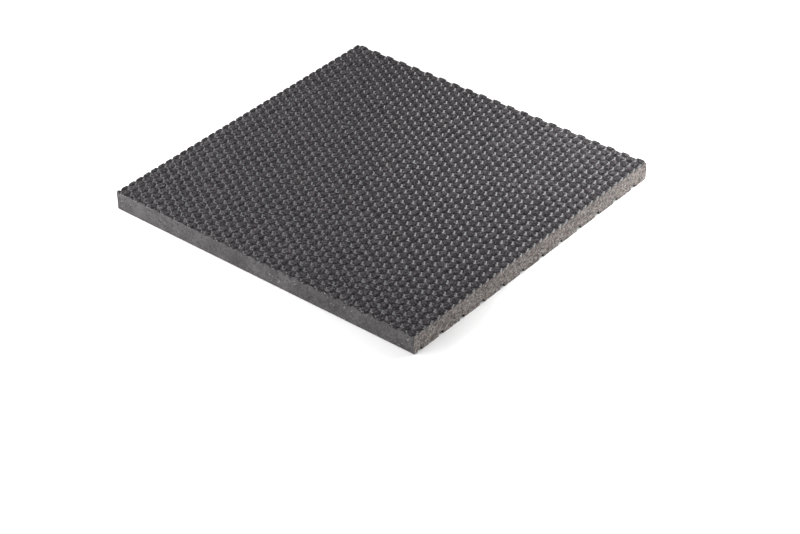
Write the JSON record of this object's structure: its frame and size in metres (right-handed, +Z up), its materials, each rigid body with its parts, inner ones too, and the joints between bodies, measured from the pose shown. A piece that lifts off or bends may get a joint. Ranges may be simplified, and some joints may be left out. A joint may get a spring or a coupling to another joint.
{
  "type": "rubber mat",
  "caption": "Nearly square cut piece of black pressed-rubber matting with staggered round studs on top and parallel drainage grooves underneath.",
  "frame": {"origin": "middle of the underside, on the plane that the mat rests on", "axes": "+X along the rows of studs, away from the pressed edge; +Y along the drainage grooves; +Z up, out of the studded top"},
  "size_m": [0.3, 0.305, 0.017],
  "materials": {
    "crumb_rubber": "matte, finely granular pressed crumb rubber with a smoother floor between the studs"
  },
  "bodies": {
    "root": {"mat": "crumb_rubber"}
  },
  "joints": []
}
